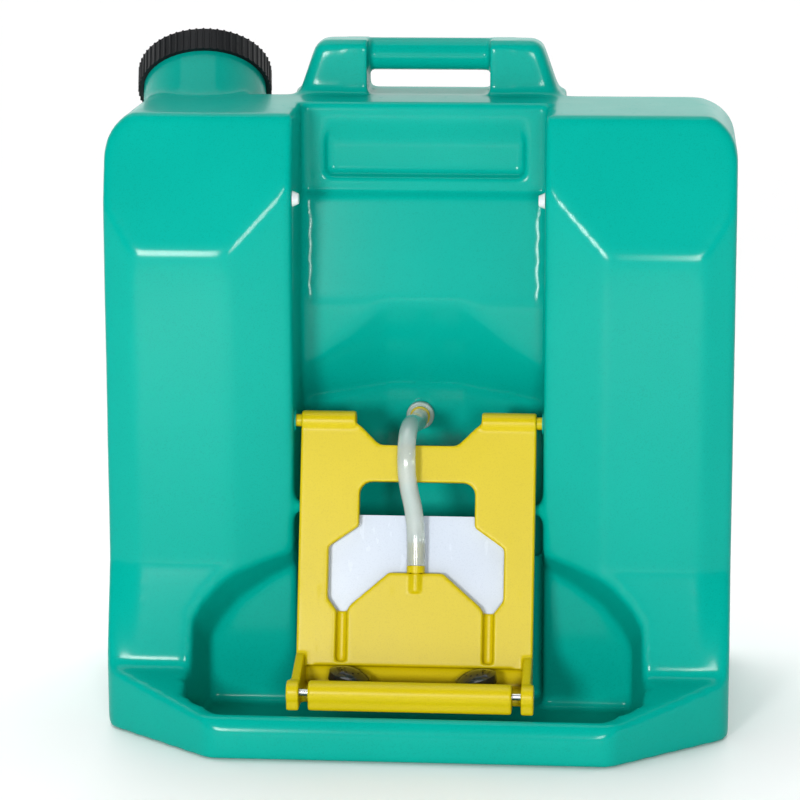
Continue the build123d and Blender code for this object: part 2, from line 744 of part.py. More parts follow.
def bar_section(hole_r):
    """Sketch of the bar across the arm's end: round above, with a straight tail below."""
    with BuildSketch(Plane.YZ) as section:
        with Locations((BAR_Y, BAR_Z)):
            Circle(BAR_R)
        with Locations((BAR_Y, BAR_Z - BAR_TAIL / 2)):
            Rectangle(BAR_TAIL_W, BAR_TAIL)
        with Locations((BAR_Y, BAR_Z)):
            Circle(hole_r, mode=Mode.SUBTRACT)
    return section.sketch


with BuildPart() as arm_frame:
    with BuildSketch(face_plane):
        with Locations((0, -PLATE_END / 2)):
            Rectangle(ARM_W, PLATE_END)
        with BuildSketch(mode=Mode.PRIVATE) as opening:
            with BuildLine():
                Polyline(window, close=True)
            make_face()
            rounded = vertices().group_by(Axis.Y)
            fillet(rounded[-1], OPENING_CORNER_R)
            fillet(vertices().filter_by_position(Axis.Y, -FAR, -CROSSBAR_FOOT - OPENING_CORNER_R - 1),
                   WINDOW_CORNER_R)
        add(opening.sketch, mode=Mode.SUBTRACT)
        with BuildSketch(mode=Mode.PRIVATE) as gap:
            with BuildLine():
                Polyline(scoop, close=True)
            make_face()
            fillet(vertices().group_by(Axis.Y)[0], SCOOP_CORNER_R)
        add(gap.sketch, mode=Mode.SUBTRACT)
    extrude(amount=-ARM_T)
    for side in (-1, 1):
        boss_x = ARM_HALF - EAR_W / 2
        with BuildSketch(Plane.YZ.offset(side * boss_x)):
            with Locations((PIVOT_Y, PIVOT_Z)):
                Circle(EAR_BOSS_R)
        extrude(amount=EAR_W / 2, both=True)
        add(prism(gusset, Plane.YZ.offset(side * (ARM_HALF - GUSSET_T / 2)), GUSSET_T / 2))
        knuckle_x = BAR_W / 2 + KNUCKLE_GAP + KNUCKLE_T / 2
        knuckle = Pos(side * knuckle_x, 0, 0) * bar_section(BAR_AXLE_R + STEP)
        add(extrude(knuckle, amount=KNUCKLE_T / 2, both=True))
    add(prism(shelf, Plane.YZ, ARM_HALF))
    pocket = [
        (SHELF_WALL_Y - SHELF_WALL_T, SHELF_TOP_Z),
        (SHELF_WALL_Y - SHELF_WALL_T, POCKET_TOP_Z - POCKET_CHAMFER_H),
        (SHELF_WALL_Y - SHELF_WALL_T - POCKET_CHAMFER_D, POCKET_TOP_Z),
        (-FAR, POCKET_TOP_Z),
        (-FAR, SHELF_TOP_Z),
    ]
    add(prism(pocket, Plane.YZ, POCKET_W / 2), mode=Mode.SUBTRACT)
    for side in (-1, 1):
        # water grooves with rounded floors
        groove = Plane(origin=on_arm(side * GROOVE_X, GROOVE_END, ARM_FACE),
                       x_dir=(1, 0, 0), z_dir=arm_plane.y_dir)
        with BuildSketch(groove):
            SlotOverall(2 * GROOVE_DEPTH + GROOVE_W, GROOVE_W, rotation=90)
        extrude(amount=GROOVE_END - WINDOW_TIP + GROOVE_DEPTH, mode=Mode.SUBTRACT)
        # feed bore from the cross bore down to the shelf
        feed = Plane(origin=on_arm(side * NOZZLE_X, CROSS_BORE, FEED_RISE),
                     x_dir=(1, 0, 0), z_dir=-arm_plane.y_dir)
        drop_point = Plane.XY.offset(SHELF_TOP_Z - SHELF_T / 2)
        wall_mid = SHELF_WALL_Y - SHELF_WALL_T / 2
        with BuildSketch(feed):
            Circle(PORT_R)
        extrude(amount=PLATE_END - CROSS_BORE - SHELF_LAP, mode=Mode.SUBTRACT)
        with BuildSketch(drop_point):
            with Locations((side * NOZZLE_X, wall_mid)):
                Circle(PORT_R)
        extrude(amount=plate_foot.Z - SHELF_TOP_Z + 2 * SHELF_LAP, mode=Mode.SUBTRACT)
        with BuildSketch(Plane.XZ.offset(-wall_mid)):
            with Locations((side * NOZZLE_X, SHELF_TOP_Z - SHELF_T / 2)):
                Circle(PORT_R)
        extrude(amount=wall_mid - NOZZLE_Y, mode=Mode.SUBTRACT)
        with BuildSketch(Plane.XY.offset(SHELF_TOP_Z)):
            with Locations((side * NOZZLE_X, NOZZLE_Y)):
                Circle(NOZZLE_STEM_R + STEP)
        extrude(amount=-SHELF_T, mode=Mode.SUBTRACT)
    with BuildSketch(Plane.YZ):
        centre = on_arm(0, CROSS_BORE, FEED_RISE)
        with Locations((centre.Y, centre.Z)):
            Circle(CHANNEL_BORE_R)
    extrude(amount=NOZZLE_X, both=True, mode=Mode.SUBTRACT)
    # boss over the inlet fitting, its hole, and the bore from there to the cross bore
    with BuildSketch(inlet_seat):
        Circle(INLET_PLUG_R + INLET_BOSS_WALL)
    extrude(amount=-INLET_PLUG - 2 * INLET_BOSS_WALL)
    with BuildSketch(inlet_seat):
        Circle(INLET_PLUG_R)
    extrude(amount=-INLET_PLUG - INLET_BOSS_WALL, mode=Mode.SUBTRACT)
    inlet_foot = Plane(origin=on_arm(0, PAD_TOP + INLET_PLUG, FEED_RISE), x_dir=(1, 0, 0),
                       z_dir=arm_plane.y_dir)
    with BuildSketch(inlet_foot):
        Circle(CHANNEL_BORE_R)
    extrude(amount=PAD_TOP + INLET_PLUG - CROSS_BORE, mode=Mode.SUBTRACT)
    with BuildSketch(Plane.YZ):
        with Locations((PIVOT_Y, PIVOT_Z)):
            Circle(PIN_R)
        with Locations((BAR_Y, BAR_Z)):
            Circle(BAR_AXLE_R + STEP)
    extrude(amount=ARM_W, both=True, mode=Mode.SUBTRACT)
    with BuildSketch(face_plane.offset(-ARM_T)):
        for row in SCREW_ROWS:
            with Locations((-SCREW_X, -row), (SCREW_X, -row)):
                Circle(SCREW_R + STEP)
    extrude(amount=SCREW_LENGTH, mode=Mode.SUBTRACT)
save(arm_frame, "arm_frame")

with BuildPart() as inlet_barb:
    add(barb(inlet_seat, BARB_LENGTH, INLET_PLUG, INLET_COLLAR_R, INLET_COLLAR, INLET_PLUG_R))
save(inlet_barb, "inlet_barb")

# ---------------------------------------------------------------- pivots
with BuildPart() as pivot_pins:
    for side in (-1, 1):
        with BuildSketch(Plane.YZ.offset(side * (ARM_HALF - PIN_IN))):
            with Locations((PIVOT_Y, PIVOT_Z)):
                Circle(PIN_R - STEP)
        extrude(amount=side * PIN_LENGTH)
save(pivot_pins, "pivot_pins")

with BuildPart() as pivot_bushes:
    bush_foot = ARM_HALF - PIN_IN + PIN_LENGTH + GAP
    for side in (-1, 1):
        with BuildSketch(Plane.YZ.offset(side * (CHANNEL_HALF - STEP))):
            with Locations((PIVOT_Y, PIVOT_Z)):
                Circle(EAR_BOSS_R)
                Circle(PIN_R + RUN, mode=Mode.SUBTRACT)
        extrude(amount=-side * BUSH_FLANGE)
        with BuildSketch(Plane.YZ.offset(side * (CHANNEL_HALF - BUSH_FLANGE - STEP))):
            with Locations((PIVOT_Y, PIVOT_Z)):
                Circle(PIN_R + RUN + BUSH_WALL - STEP)
                Circle(PIN_R + RUN, mode=Mode.SUBTRACT)
        extrude(amount=side * (bush_foot - CHANNEL_HALF + BUSH_FLANGE + BUSH_FLANGE))
        with BuildSketch(Plane.YZ.offset(side * bush_foot)):
            with Locations((PIVOT_Y, PIVOT_Z)):
                Circle(PIN_R + RUN + BUSH_WALL - STEP)
        extrude(amount=side * BUSH_END)
save(pivot_bushes, "pivot_bushes")

with BuildPart() as catch_buttons:
    for side in (-1, 1):
        wall_face = Plane(origin=(side * (CHANNEL_HALF - STEP), BUTTON_Y, BUTTON_Z),
                          x_dir=(0, 1, 0), z_dir=(-side, 0, 0))
        with BuildSketch(wall_face):
            Circle(BUTTON_R)
        with BuildSketch(wall_face.offset(BUTTON_H)):
            Circle(BUTTON_TIP_R)
        loft()
        with BuildSketch(wall_face):
            Circle(BUTTON_STEM_R - STEP)
        extrude(amount=-WALL)
        with BuildSketch(wall_face.offset(-WALL)):
            Circle(BUTTON_HOLE_R)
        extrude(amount=WALL + BUTTON_H, mode=Mode.SUBTRACT)
save(catch_buttons, "catch_buttons")

# ---------------------------------------------------------------- bar
with BuildPart() as pull_bar:
    add(extrude(bar_section(BAR_AXLE_R + RUN), amount=BAR_W / 2, both=True))
save(pull_bar, "pull_bar")

with BuildPart() as bar_axle:
    with BuildSketch(Plane.YZ):
        with Locations((BAR_Y, BAR_Z)):
            Circle(BAR_AXLE_R)
    extrude(amount=BAR_W / 2 + KNUCKLE_GAP + KNUCKLE_T, both=True)
save(bar_axle, "bar_axle")



# ---------------------------------------------------------------- nozzles
def nozzle(side):
    """Spray nozzle: tilted head with a domed face, and a hollow stem through the shelf."""
    lean = side * radians(-NOZZLE_TILT)
    head = Plane(origin=(side * NOZZLE_X, NOZZLE_Y, NOZZLE_SEAT_Z), x_dir=(cos(lean), 0, -sin(lean)),
                 z_dir=(sin(lean), 0, cos(lean)))
    port_z = SHELF_TOP_Z - SHELF_T / 2
    with BuildPart() as spray:
        with BuildSketch(Plane.XY.offset(STEM_FOOT_Z)):
            with Locations((side * NOZZLE_X, NOZZLE_Y)):
                Circle(NOZZLE_STEM_R)
        extrude(amount=NOZZLE_SEAT_Z + LAP - STEM_FOOT_Z)
        with BuildSketch(head):
            Circle(NOZZLE_R)
        extrude(amount=NOZZLE_SKIRT)
        with BuildSketch(Plane(head.origin, x_dir=head.x_dir, z_dir=head.y_dir)):
            with BuildLine():
                ThreePointArc((0, -NOZZLE_SKIRT - NOZZLE_DOME), (NOZZLE_R / 2, -NOZZLE_SKIRT
                              - NOZZLE_DOME * 0.75), (NOZZLE_R, -NOZZLE_SKIRT))
                Line((NOZZLE_R, -NOZZLE_SKIRT), (0, -NOZZLE_SKIRT))
                Line((0, -NOZZLE_SKIRT), (0, -NOZZLE_SKIRT - NOZZLE_DOME))
            make_face()
        revolve(axis=Axis(head.origin, head.z_dir))
        # chamber under the domed face, fed by the bore of the stem
        with BuildSketch(head.offset(NOZZLE_SKIRT / 2)):
            Circle(NOZZLE_R - NOZZLE_WALL)
        extrude(amount=NOZZLE_SKIRT / 2, mode=Mode.SUBTRACT)
        with BuildSketch(Plane.XY.offset(STEM_FOOT_Z + NOZZLE_WALL)):
            with Locations((side * NOZZLE_X, NOZZLE_Y)):
                Circle(NOZZLE_BORE_R)
        extrude(amount=NOZZLE_SEAT_Z + NOZZLE_SKIRT / 2 - STEM_FOOT_Z, mode=Mode.SUBTRACT)
        with BuildSketch(Plane.XZ.offset(-NOZZLE_Y)):
            with Locations((side * NOZZLE_X, port_z)):
                Circle(PORT_R)
        extrude(amount=-NOZZLE_STEM_R - LAP, mode=Mode.SUBTRACT)
        with BuildSketch(head.offset(NOZZLE_SKIRT / 2)):
            with PolarLocations(NOZZLE_R / 2, NOZZLE_HOLES):
                Circle(NOZZLE_HOLE_R)
        extrude(amount=NOZZLE_R, mode=Mode.SUBTRACT)
    return spray


nozzle_left = nozzle(-1)
save(nozzle_left, "nozzle_left")
nozzle_right = nozzle(1)
save(nozzle_right, "nozzle_right")

with BuildPart() as nozzle_seals:
    with BuildSketch(Plane.XY.offset(SHELF_TOP_Z + STEP)):
        for x in (-NOZZLE_X, NOZZLE_X):
            with Locations((x, NOZZLE_Y)):
                Circle(NOZZLE_STEM_R + SEAL_W)
                Circle(NOZZLE_STEM_R + STEP, mode=Mode.SUBTRACT)
    extrude(amount=SEAL_T)
save(nozzle_seals, "nozzle_seals")

with BuildPart() as flow_discs:
    with BuildSketch(Plane.XY.offset(SHELF_TOP_Z + STEP)):
        for x in (-NOZZLE_X, NOZZLE_X):
            with Locations((x, NOZZLE_Y)):
                Circle(NOZZLE_BORE_R - STEP)
                Circle(NOZZLE_HOLE_R, mode=Mode.SUBTRACT)
    extrude(amount=DISC_T)
save(flow_discs, "flow_discs")

# ---------------------------------------------------------------- sign plate
back_face = face_plane.offset(-ARM_T - STEP)
with BuildPart() as sign_plate:
    with BuildSketch(back_face):
        with Locations((0, -(SIGN_TOP + SIGN_END) / 2)):
            RectangleRounded(SIGN_W, SIGN_END - SIGN_TOP, SIGN_CORNER_R)
        for row in SCREW_ROWS:
            with Locations((-SCREW_X, -row), (SCREW_X, -row)):
                Circle(SCREW_R + STEP, mode=Mode.SUBTRACT)
    extrude(amount=-SIGN_T)
save(sign_plate, "sign_plate")

with BuildPart() as sign_screws:
    sign_face = back_face.offset(-SIGN_T - STEP)
    for row in SCREW_ROWS:
        for x in (-SCREW_X, SCREW_X):
            with BuildSketch(sign_face):
                with Locations((x, -row)):
                    Circle(SCREW_HEAD_R)
            extrude(amount=-SCREW_HEAD_T)
            with BuildSketch(sign_face.offset(-SCREW_HEAD_T)):
                with Locations((x, -row)):
                    Rectangle(2 * SCREW_HEAD_R, SCREW_SLOT)
                    Rectangle(SCREW_SLOT, 2 * SCREW_HEAD_R)
            extrude(amount=SCREW_SLOT, mode=Mode.SUBTRACT)
            with BuildSketch(sign_face):
                with Locations((x, -row)):
                    Circle(SCREW_R)
            extrude(amount=SIGN_T + SCREW_LENGTH - SCREW_HEAD_T)
save(sign_screws, "sign_screws")

# ---------------------------------------------------------------- hose
hose_start = wall_plane.offset(flange_face + BARB_RING_T + GAP).origin
hose_end = inlet_seat.offset(INLET_COLLAR + GAP).origin
# out of the outlet, over the arm's crossbar, then down the arm to its inlet
route = [
    hose_start,
    Vector(OUTLET_X, 0, OUTLET_Z),
    Vector(OUTLET_X - 2, -26, OUTLET_Z + 6),
    Vector(OUTLET_X - 3, -50, OUTLET_Z + 9),
    Vector(OUTLET_X - 4, -69, OUTLET_Z + 3),
    Vector(OUTLET_X - 4, -79, OUTLET_Z - 14),
    Vector(OUTLET_X - 3, -80, OUTLET_Z - 35),
    Vector(OUTLET_X + 3, -80, OUTLET_Z - 61),
    hose_end + inlet_seat.z_dir * HOSE_LEAD,
    hose_end,
]
runs = [b - a for a, b in zip(route, route[1:])]
bends = []
for before, after in zip(runs, runs[1:]):
    half_turn = radians(before.get_angle(after)) / 2
    bends.append(BEND_SHARE * min(before.length, after.length) / tan(half_turn))
print("hose bend radii", [round(bend) for bend in bends])

with BuildPart() as supply_hose:
    with BuildLine():
        hose_line = FilletPolyline(*route, radius=bends)
    for bore, mode in ((HOSE_R, Mode.ADD), (HOSE_BORE_R, Mode.SUBTRACT)):
        with BuildSketch(Plane(origin=route[0], z_dir=runs[0])):
            Circle(bore)
        sweep(path=hose_line, mode=mode)
save(supply_hose, "supply_hose")
hose_area = pi * (HOSE_R ** 2 - HOSE_BORE_R ** 2)
print("hose length", round(hose_line.length, 1), "volume ratio",
      round(supply_hose.part.volume / hose_area / hose_line.length, 4))
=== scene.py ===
"""Looks of the portable eyewash station: moulded tank, swing-down arm, hose, cap and studio."""
from __future__ import annotations

import json
import logging
from dataclasses import dataclass, field
from enum import Enum
from math import radians

import bmesh
import bpy
from mathutils import Matrix, Vector


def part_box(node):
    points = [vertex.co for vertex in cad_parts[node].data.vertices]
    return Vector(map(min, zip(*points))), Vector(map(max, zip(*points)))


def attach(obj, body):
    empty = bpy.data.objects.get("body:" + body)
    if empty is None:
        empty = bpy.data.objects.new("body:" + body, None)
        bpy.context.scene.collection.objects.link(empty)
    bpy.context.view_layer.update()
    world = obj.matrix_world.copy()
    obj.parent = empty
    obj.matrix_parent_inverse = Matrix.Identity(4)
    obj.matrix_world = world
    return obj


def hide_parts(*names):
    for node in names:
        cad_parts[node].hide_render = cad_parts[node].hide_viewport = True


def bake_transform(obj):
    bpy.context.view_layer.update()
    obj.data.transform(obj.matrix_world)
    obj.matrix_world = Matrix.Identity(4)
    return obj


log = logging.getLogger("eyewash")
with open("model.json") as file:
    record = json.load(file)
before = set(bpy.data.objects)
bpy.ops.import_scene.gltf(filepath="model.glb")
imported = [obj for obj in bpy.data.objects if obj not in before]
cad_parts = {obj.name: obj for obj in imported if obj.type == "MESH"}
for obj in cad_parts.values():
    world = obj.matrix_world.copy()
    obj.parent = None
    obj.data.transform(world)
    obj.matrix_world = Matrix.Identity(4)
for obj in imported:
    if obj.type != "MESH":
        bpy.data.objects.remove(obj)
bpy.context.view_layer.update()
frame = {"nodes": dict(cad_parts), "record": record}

Colour = tuple[float, float, float]
Point = tuple[float, float, float]


def linear(red: int, green: int, blue: int) -> Colour:
    """Turn a display colour, 0 to 255 a channel, into the shader's linear colour.

    Args:
        red: red channel.
        green: green channel.
        blue: blue channel.

    Returns:
        The linear colour.
    """
    def channel(value: float) -> float:
        """Undo the display curve of one channel, 0 to 1."""
        return value / 12.92 if value <= 0.04045 else ((value + 0.055) / 1.055) ** 2.4

    return channel(red / 255), channel(green / 255), channel(blue / 255)


def scaled(colour: Colour, factor: float) -> Colour:
    """Make a colour lighter or darker by a factor."""
    return tuple(min(1.0, channel * factor) for channel in colour)


# ---------------------------------------------------------------- finishes
class Grain(Enum):
    """Kinds of fine relief on a surface."""

    ORANGE_PEEL = "orange peel"
    SATIN = "satin"
    BRUSHED = "brushed"
    RIBBED = "ribbed"


CLOUD_SIZE = 9.0          # repeats per metre of the patterns that every finish shares
SPECK_SIZE = 900.0
PATCH_SIZE = 24.0
SCRATCH_SIZE = 160.0
SCRATCH_STRETCH = (1.0, 1.0, 0.06)
SPECK_WEIGHT = 0.12
RELIEF_DEPTH = 0.001      # metres
SCATTER_DEPTH = 0.004     # metres


@dataclass(frozen=True)
class Finish:
    """A procedural surface: colour that drifts a little, uneven gloss, faint scratches, fine relief.

    Attributes:
        name: name of the material.
        colour: main colour, linear.
        drift: how much darker the patchy parts are, as a factor.
        roughness: lowest and highest roughness.
        grain: kind of fine relief.
        grain_size: relief pattern, repeats per metre.
        relief: strength of the relief.
        coat: weight of the clear glossy layer.
        coat_roughness: roughness of that layer.
        metallic: 1 for metal.
        transmission: share of light that passes through.
        subsurface: weight of light scattered under the surface.
        scuffs: how much the fine scratches dull the gloss.
        specular: strength of the plain reflection.
    """

    name: str
    colour: Colour
    drift: float = 0.9
    roughness: tuple[float, float] = (0.25, 0.35)
    grain: Grain = Grain.ORANGE_PEEL
    grain_size: float = 260.0
    relief: float = 0.03
    coat: float = 0.0
    coat_roughness: float = 0.1
    metallic: float = 0.0
    transmission: float = 0.0
    subsurface: float = 0.0
    scuffs: float = 0.1
    specular: float = 0.5

    def material(self) -> bpy.types.Material:
        """Build the finish as a node material.

        Returns:
            The material, made once and shared.
        """
        known = bpy.data.materials.get(self.name)
        if known:
            return known
        made = bpy.data.materials.new(self.name)
        made.use_nodes = True
        tree = made.node_tree
        shader = tree.nodes["Principled BSDF"]
        where = tree.nodes.new("ShaderNodeTexCoord").outputs["Object"]
        self._colour(tree, where, shader)
        self._gloss(tree, where, shader)
        self._relief(tree, where, shader)
        shader.inputs["Metallic"].default_value = self.metallic
        shader.inputs["Coat Weight"].default_value = self.coat
        shader.inputs["Coat Roughness"].default_value = self.coat_roughness
        shader.inputs["Transmission Weight"].default_value = self.transmission
        shader.inputs["Specular IOR Level"].default_value = self.specular
        shader.inputs["Subsurface Weight"].default_value = self.subsurface
        shader.inputs["Subsurface Scale"].default_value = SCATTER_DEPTH
        return made

    def _noise(self, tree: bpy.types.NodeTree, where: bpy.types.NodeSocket, size: float,
               detail: float, stretch: Point = (1, 1, 1)) -> bpy.types.NodeSocket:
        """Add a noise pattern.

        Args:
            tree: node tree to add to.
            where: coordinates.
            size: repeats per metre.
            detail: octaves of detail.
            stretch: scale of the pattern along each axis.

        Returns:
            The pattern's value.
        """
        spread = tree.nodes.new("ShaderNodeMapping")
        spread.inputs["Scale"].default_value = stretch
        tree.links.new(where, spread.inputs["Vector"])
        noise = tree.nodes.new("ShaderNodeTexNoise")
        noise.inputs["Scale"].default_value = size
        noise.inputs["Detail"].default_value = detail
        tree.links.new(spread.outputs["Vector"], noise.inputs["Vector"])
        return noise.outputs["Fac"]

    def _ramp(self, tree: bpy.types.NodeTree, value: bpy.types.NodeSocket,
              stops: list[tuple[float, Colour]]) -> bpy.types.NodeSocket:
        """Map a value to colours.

        Args:
            tree: node tree to add to.
            value: value from 0 to 1.
            stops: position and colour of each stop.

        Returns:
            The colour.
        """
        ramp = tree.nodes.new("ShaderNodeValToRGB")
        for element, (place, colour) in zip(ramp.color_ramp.elements, stops):
            element.position = place
            element.color = (*colour, 1)
        tree.links.new(value, ramp.inputs["Fac"])
        return ramp.outputs["Color"]

    def _colour(self, tree: bpy.types.NodeTree, where: bpy.types.NodeSocket,
                shader: bpy.types.Node) -> None:
        """Give the shader a colour with soft clouds and fine specks.

        Args:
            tree: node tree to add to.
            where: coordinates.
            shader: the surface shader.
        """
        clouds = self._ramp(tree, self._noise(tree, where, CLOUD_SIZE, 3.0),
                            [(0.3, scaled(self.colour, self.drift)), (0.7, self.colour)])
        specks = self._ramp(tree, self._noise(tree, where, SPECK_SIZE, 1.0),
                            [(0.36, scaled(self.colour, self.drift * 0.92)), (0.44, (1, 1, 1))])
        mix = tree.nodes.new("ShaderNodeMix")
        mix.data_type = "RGBA"
        mix.blend_type = "MULTIPLY"
        mix.inputs["Factor"].default_value = SPECK_WEIGHT
        tree.links.new(clouds, mix.inputs["A"])
        tree.links.new(specks, mix.inputs["B"])
        tree.links.new(mix.outputs["Result"], shader.inputs["Base Color"])

    def _gloss(self, tree: bpy.types.NodeTree, where: bpy.types.NodeSocket,
               shader: bpy.types.Node) -> None:
        """Give the shader uneven gloss with faint scratches.

        Args:
            tree: node tree to add to.
            where: coordinates.
            shader: the surface shader.
        """
        low, high = self.roughness
        patches = tree.nodes.new("ShaderNodeMapRange")
        patches.inputs["To Min"].default_value = low
        patches.inputs["To Max"].default_value = high
        tree.links.new(self._noise(tree, where, PATCH_SIZE, 4.0), patches.inputs["Value"])
        scratches = tree.nodes.new("ShaderNodeMapRange")
        scratches.inputs["From Min"].default_value = 0.66
        scratches.inputs["From Max"].default_value = 0.74
        scratches.inputs["To Max"].default_value = self.scuffs
        streaks = self._noise(tree, where, SCRATCH_SIZE, 2.0, SCRATCH_STRETCH)
        tree.links.new(streaks, scratches.inputs["Value"])
        total = tree.nodes.new("ShaderNodeMath")
        total.use_clamp = True
        tree.links.new(patches.outputs["Result"], total.inputs[0])
        tree.links.new(scratches.outputs["Result"], total.inputs[1])
        tree.links.new(total.outputs["Value"], shader.inputs["Roughness"])

    def _relief(self, tree: bpy.types.NodeTree, where: bpy.types.NodeSocket,
                shader: bpy.types.Node) -> None:
        """Give the shader the finish's fine relief.

        Args:
            tree: node tree to add to.
            where: coordinates.
            shader: the surface shader.
        """
        stretch = {
            Grain.ORANGE_PEEL: (1, 1, 1),
            Grain.SATIN: (2.5, 2.5, 2.5),
            Grain.BRUSHED: (0.05, 1, 1),
            Grain.RIBBED: (1, 1, 4),
        }[self.grain]
        bump = tree.nodes.new("ShaderNodeBump")
        bump.inputs["Strength"].default_value = self.relief
        bump.inputs["Distance"].default_value = RELIEF_DEPTH
        tree.links.new(self._noise(tree, where, self.grain_size, 3.0, stretch), bump.inputs["Height"])
        tree.links.new(bump.outputs["Normal"], shader.inputs["Normal"])


TEAL = Finish("teal_polyethylene", linear(0, 160, 145), drift=0.95, roughness=(0.3, 0.4),
              grain_size=170.0, relief=0.03, specular=0.02, coat=0.2, coat_roughness=0.13)
YELLOW = Finish("yellow_abs", linear(198, 178, 1), drift=0.95, roughness=(0.28, 0.4),
                grain_size=300.0, relief=0.04, specular=0.25)
BLACK = Finish("black_nylon", linear(18, 21, 24), drift=0.8, roughness=(0.36, 0.5), grain=Grain.SATIN,
               grain_size=420.0, relief=0.06, scuffs=0.15, specular=0.16)
WHITE = Finish("white_sheet", linear(190, 200, 214), drift=0.97, roughness=(0.2, 0.3), relief=0.015,
               coat=0.3, coat_roughness=0.08)
NOZZLE = Finish("black_acetal", linear(24, 25, 28), drift=0.8, roughness=(0.12, 0.22), grain=Grain.SATIN,
                grain_size=500.0, relief=0.02, specular=0.3, coat=0.35, coat_roughness=0.08)
BUTTON = Finish("white_acetal", linear(214, 222, 222), drift=0.93, roughness=(0.3, 0.42), relief=0.03,
                subsurface=0.15)
NATURAL = Finish("natural_nylon", linear(196, 214, 208), drift=0.9, roughness=(0.2, 0.32), relief=0.03,
                 transmission=0.35, subsurface=0.1)
CLEAR = Finish("clear_vinyl", linear(226, 236, 232), drift=0.94, roughness=(0.12, 0.22),
               grain=Grain.RIBBED, grain_size=90.0, relief=0.08, transmission=0.55, coat=0.4)
RUBBER = Finish("seal_rubber", linear(34, 34, 34), drift=0.8, roughness=(0.55, 0.75), relief=0.08,
                specular=0.3)
STEEL = Finish("stainless_steel", (0.56, 0.56, 0.57), drift=0.85, roughness=(0.22, 0.38),
               grain=Grain.BRUSHED, grain_size=900.0, relief=0.04, metallic=1.0, scuffs=0.12)
FLOOR = Finish("studio_floor", (0.97, 0.97, 0.97), drift=0.99, roughness=(0.6, 0.7), relief=0.01,
               scuffs=0.02)


def dress(piece: bpy.types.Object, finish: Finish) -> None:
    """Give a piece or a CAD node its one finish.

    Args:
        piece: the object to dress.
        finish: its finish.
    """
    if not piece.material_slots:
        piece.data.materials.append(None)
    for slot in piece.material_slots:
        slot.link = "OBJECT"
        slot.material = finish.material()


def dress_nodes(finish: Finish, *nodes: str) -> None:
    """Dress carried-over CAD nodes.

    Args:
        finish: their finish.
        nodes: names of the nodes.
    """
    for node in nodes:
        dress(frame["nodes"][node], finish)
        log.info("node %s wears %s", node, finish.name)


def in_scene(name: str, data: bpy.types.ID) -> bpy.types.Object:
    """Put a mesh, curve, light or camera in the scene as an object.

    Args:
        name: name of the object.
        data: what it shows.

    Returns:
        The object.
    """
    piece = bpy.data.objects.new(name, data)
    bpy.context.scene.collection.objects.link(piece)
    return piece


def settle(piece: bpy.types.Object) -> None:
    """Apply a piece's modifiers to its mesh.

    Args:
        piece: the object.
    """
    evaluated = piece.evaluated_get(bpy.context.evaluated_depsgraph_get())
    mesh = bpy.data.meshes.new_from_object(evaluated)
    piece.modifiers.clear()
    piece.data = mesh


# ---------------------------------------------------------------- moulded pieces
BORE_SEGMENTS = 72


@dataclass(frozen=True)
class Bore:
    """A round hole that a moulded piece keeps crisp.

    Attributes:
        start: one end of its axis.
        end: the other end of its axis.
        radius: its radius.
    """

    start: Point
    end: Point
    radius: float

    def cutter(self, grow: float = 0.0) -> bpy.types.Object:
        """Build the cylinder that fills or cuts the hole.

        Args:
            grow: how much wider than the hole it is.

        Returns:
            The cylinder.
        """
        start, end = Vector(self.start), Vector(self.end)
        along = end - start
        place = Matrix.Translation((start + end) / 2) @ along.to_track_quat("Z", "Y").to_matrix().to_4x4()
        shape = bmesh.new()
        bmesh.ops.create_cone(shape, cap_ends=True, segments=BORE_SEGMENTS, radius1=self.radius + grow,
                              radius2=self.radius + grow, depth=along.length, matrix=place)
        mesh = bpy.data.meshes.new("bore")
        shape.to_mesh(mesh)
        shape.free()
        return in_scene("bore", mesh)


